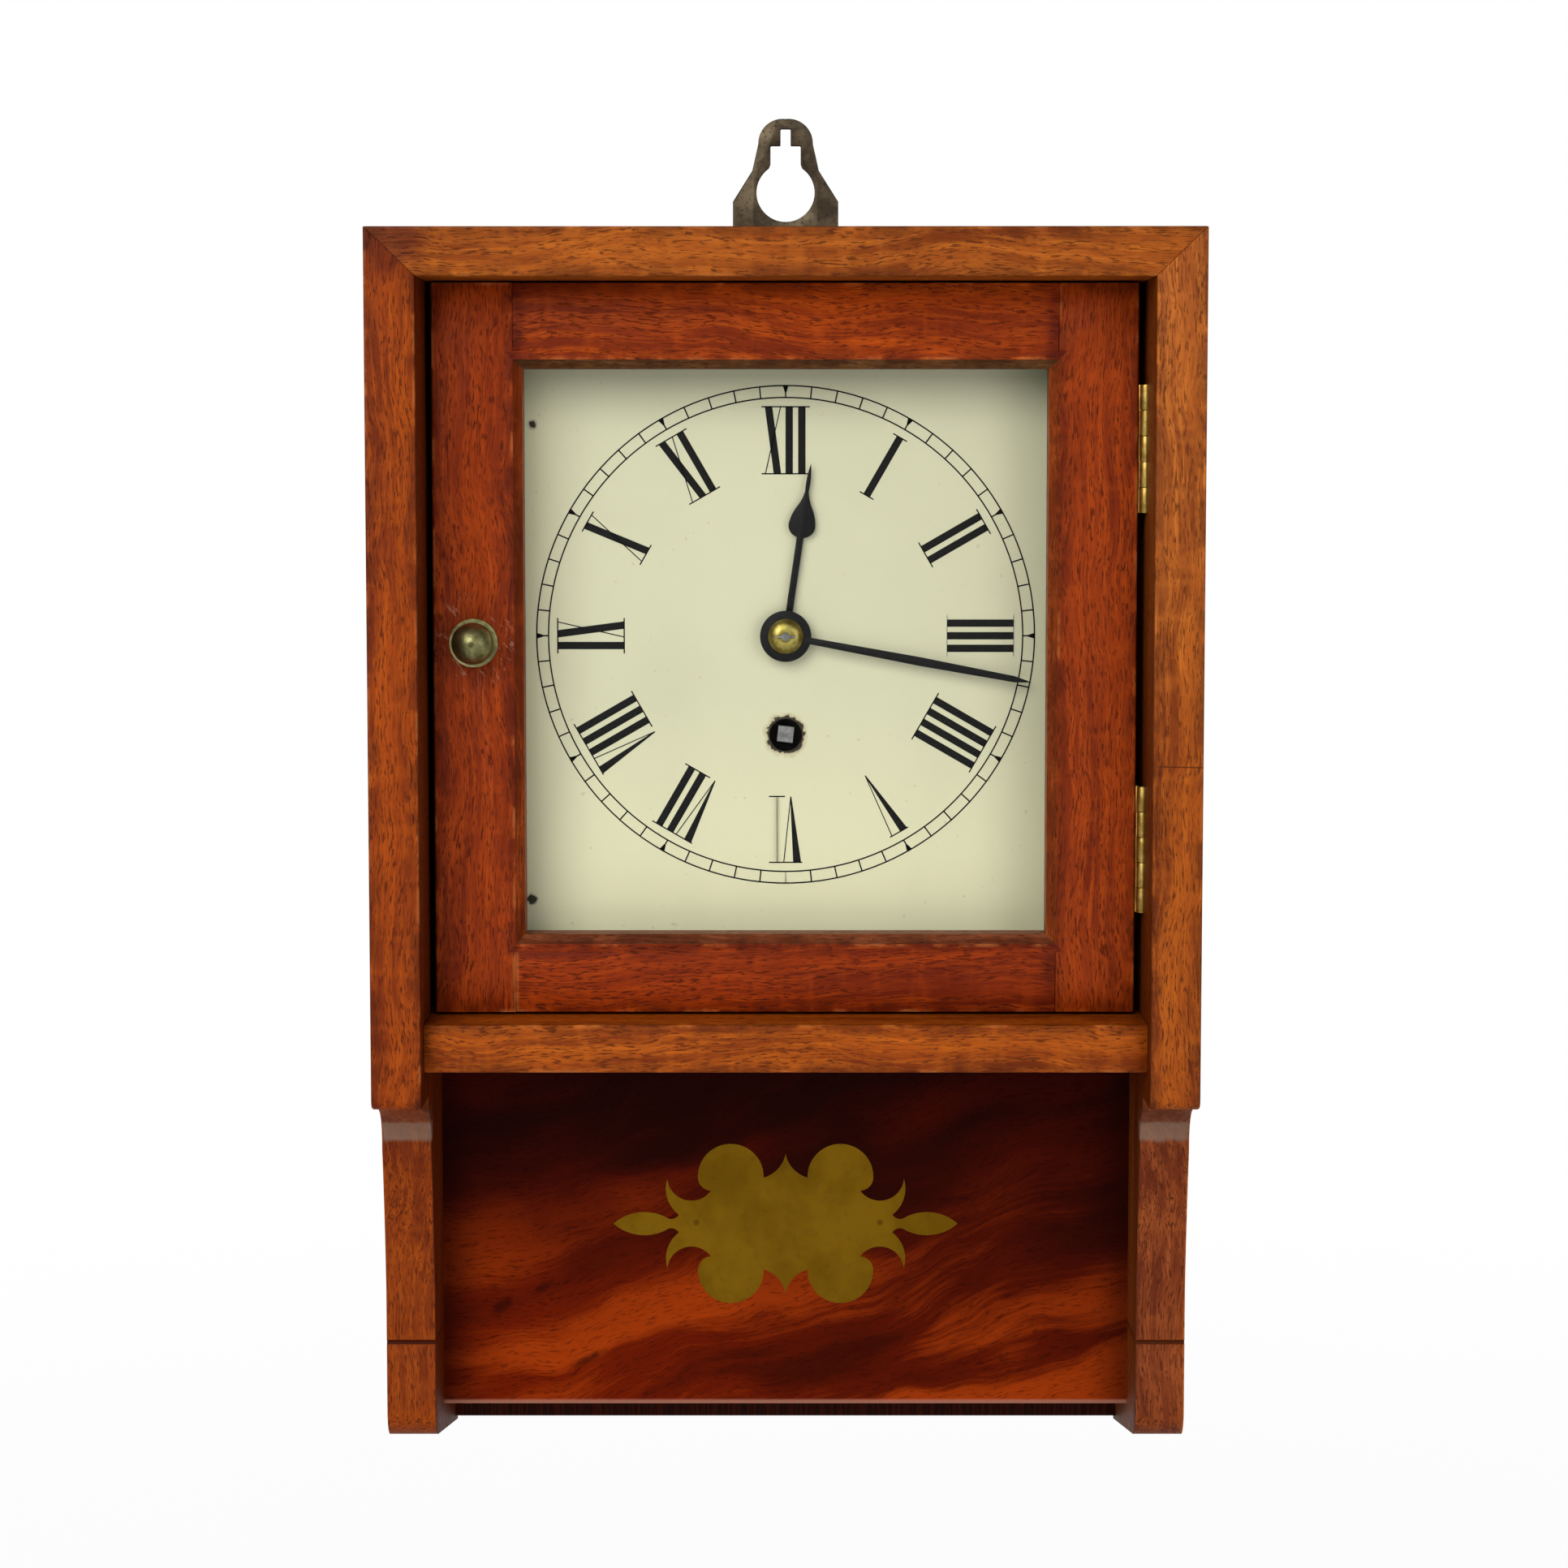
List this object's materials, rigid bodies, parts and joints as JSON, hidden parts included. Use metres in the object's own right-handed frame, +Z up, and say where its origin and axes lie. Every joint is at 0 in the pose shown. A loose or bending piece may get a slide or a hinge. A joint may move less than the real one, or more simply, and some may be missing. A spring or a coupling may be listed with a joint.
{
  "type": "drop dial wall clock",
  "caption": "Wall clock: wooden case with bracketed sides, hinged glazed door over a painted dial, brass inlaid pendulum box, and a spring driven train with anchor and pendulum.",
  "frame": {"origin": "on the wall plane, straight behind the hands' arbor", "axes": "+Y into the wall, -Y out of the clock's face towards the reader, +X to the right as the dial is read, +Z up"},
  "size_m": [0.245, 0.114, 0.4216],
  "materials": {
    "case_wood": "oiled mahogany, worn",
    "door_wood": "oiled mahogany, worn",
    "panel_wood": "dark figured mahogany",
    "back_wood": "plain deal, unfinished",
    "inlay_brass": "aged, tarnished",
    "hanger_steel": "dark bronze lacquer, worn",
    "dial_paint": "cream paint, aged",
    "knob_brass": "aged, tarnished",
    "hinge_brass": "bright brushed",
    "plate_brass": "straight grained",
    "wheel_brass": "turned",
    "arbor_steel": "polished",
    "screw_steel": "polished, blued heads",
    "spring_steel": "blued",
    "hand_black": "black lacquer",
    "collet_brass": "aged",
    "window_glass": "clear",
    "bob_brass": "lacquered",
    "rod_steel": "drawn wire"
  },
  "bodies": {
    "case": {"left_side_board": "case_wood", "right_side_board": "case_wood", "top_board": "case_wood", "bottom_board": "case_wood", "backboard": "back_wood", "hanger_plate": "hanger_steel", "hanger_screws": "screw_steel", "box_panel": "panel_wood", "brass_inlay": "inlay_brass", "box_floor": "back_wood", "dial_battens": "back_wood", "dial_plate": "dial_paint", "dial_screws": "screw_steel", "dial_feet": "plate_brass", "front_plate": "plate_brass", "back_plate": "plate_brass", "movement_pillars": "plate_brass", "taper_pins": "plate_brass", "movement_screws": "screw_steel", "click_spring": "spring_steel", "minute_wheel_post": "arbor_steel", "back_cock": "plate_brass", "hinge_case_leaves": "hinge_brass", "hinge_pins": "hinge_brass"},
    "door": {"door_left_stile": "door_wood", "door_right_stile": "door_wood", "door_top_rail": "door_wood", "door_bottom_rail": "door_wood", "door_glass": "window_glass", "glazing_beads": "door_wood", "hinge_door_leaves": "hinge_brass"},
    "door_catch": {"door_knob": "knob_brass", "catch_arm": "plate_brass"},
    "minute_hand_group": {"cannon_pinion": "wheel_brass", "minute_hand": "hand_black", "hand_collet": "collet_brass"},
    "centre_group": {"centre_arbor": "arbor_steel", "centre_wheel": "wheel_brass", "hand_pin": "arbor_steel"},
    "minute_wheel_group": {"minute_wheel": "wheel_brass"},
    "hour_hand_group": {"hour_wheel": "wheel_brass", "hour_hand": "hand_black"},
    "intermediate_group": {"intermediate_arbor": "arbor_steel", "intermediate_wheel": "wheel_brass"},
    "barrel_group": {"barrel_drum": "wheel_brass", "barrel_cap": "wheel_brass", "mainspring": "spring_steel"},
    "winding_group": {"winding_arbor": "arbor_steel", "ratchet_wheel": "arbor_steel"},
    "click_group": {"click": "wheel_brass"},
    "third_group": {"third_arbor": "arbor_steel", "third_wheel": "wheel_brass"},
    "escape_group": {"escape_arbor": "arbor_steel", "escape_wheel": "wheel_brass"},
    "pendulum_group": {"suspension_spring": "spring_steel", "pendulum_rod": "rod_steel", "pendulum_bob": "bob_brass", "rating_nut": "bob_brass"},
    "anchor_group": {"anchor": "arbor_steel", "crutch": "arbor_steel"}
  },
  "joints": [
    {"name": "door_swing", "type": "hinge", "parent": "case", "child": "door", "pos_m": [0.1071, -0.089, 0], "axis": [0, 0, 1], "range_deg": [0, 93]},
    {"name": "knob_turn", "type": "hinge", "parent": "door", "child": "door_catch", "pos_m": [-0.0933, -0.078, -0.001], "axis": [0, 1, 0], "range_deg": [0, 90]},
    {"name": "minute_hand_turn", "type": "hinge", "parent": "case", "child": "minute_hand_group", "pos_m": [0, -0.059, 0], "axis": [0, 1, 0], "continuous": true},
    {"name": "centre_arbor_turn", "type": "hinge", "parent": "case", "child": "centre_group", "pos_m": [0, -0.039, 0], "axis": [0, 1, 0], "continuous": true},
    {"name": "minute_wheel_turn", "type": "hinge", "parent": "case", "child": "minute_wheel_group", "pos_m": [-0.00848, -0.056, 0.00848], "axis": [0, 1, 0], "continuous": true},
    {"name": "hour_hand_turn", "type": "hinge", "parent": "case", "child": "hour_hand_group", "pos_m": [0, -0.059, 0], "axis": [0, 1, 0], "continuous": true},
    {"name": "intermediate_turn", "type": "hinge", "parent": "case", "child": "intermediate_group", "pos_m": [0.0225, -0.038, -0.00835], "axis": [0, 1, 0], "continuous": true},
    {"name": "barrel_turn", "type": "hinge", "parent": "case", "child": "barrel_group", "pos_m": [0, -0.042, -0.0304], "axis": [0, 1, 0], "continuous": true},
    {"name": "winding_turn", "type": "hinge", "parent": "case", "child": "winding_group", "pos_m": [0, -0.042, -0.0304], "axis": [0, 1, 0], "range_deg": [0, 1296]},
    {"name": "click_lift", "type": "hinge", "parent": "case", "child": "click_group", "pos_m": [-0.014, -0.0556, -0.0179], "axis": [0, -1, 0], "range_deg": [0, 12], "stiffness_Nm_per_rad": 0.02, "deforming": ["click_spring"]},
    {"name": "third_turn", "type": "hinge", "parent": "case", "child": "third_group", "pos_m": [-0.01534, -0.038, 0.0168], "axis": [0, 1, 0], "continuous": true},
    {"name": "escape_turn", "type": "hinge", "parent": "case", "child": "escape_group", "pos_m": [0, -0.038, 0.02843], "axis": [0, 1, 0], "continuous": true},
    {"name": "pendulum_swing", "type": "hinge", "parent": "case", "child": "pendulum_group", "pos_m": [0, -0.016, 0.04328], "axis": [0, 1, 0], "range_deg": [-3, 3]},
    {"name": "anchor_rock", "type": "hinge", "parent": "case", "child": "anchor_group", "pos_m": [0, -0.034, 0.04328], "axis": [0, 1, 0], "range_deg": [-3, 3]}
  ],
  "couplings": [
    {"joint": "centre_arbor_turn", "follows": "minute_hand_turn", "ratio": 1},
    {"joint": "minute_wheel_turn", "follows": "minute_hand_turn", "ratio": -0.33333},
    {"joint": "hour_hand_turn", "follows": "minute_hand_turn", "ratio": 0.083333},
    {"joint": "intermediate_turn", "follows": "minute_hand_turn", "ratio": -0.11111},
    {"joint": "barrel_turn", "follows": "minute_hand_turn", "ratio": 0.018519},
    {"joint": "third_turn", "follows": "minute_hand_turn", "ratio": -12},
    {"joint": "escape_turn", "follows": "minute_hand_turn", "ratio": 120},
    {"joint": "anchor_rock", "follows": "pendulum_swing", "ratio": 1}
  ]
}
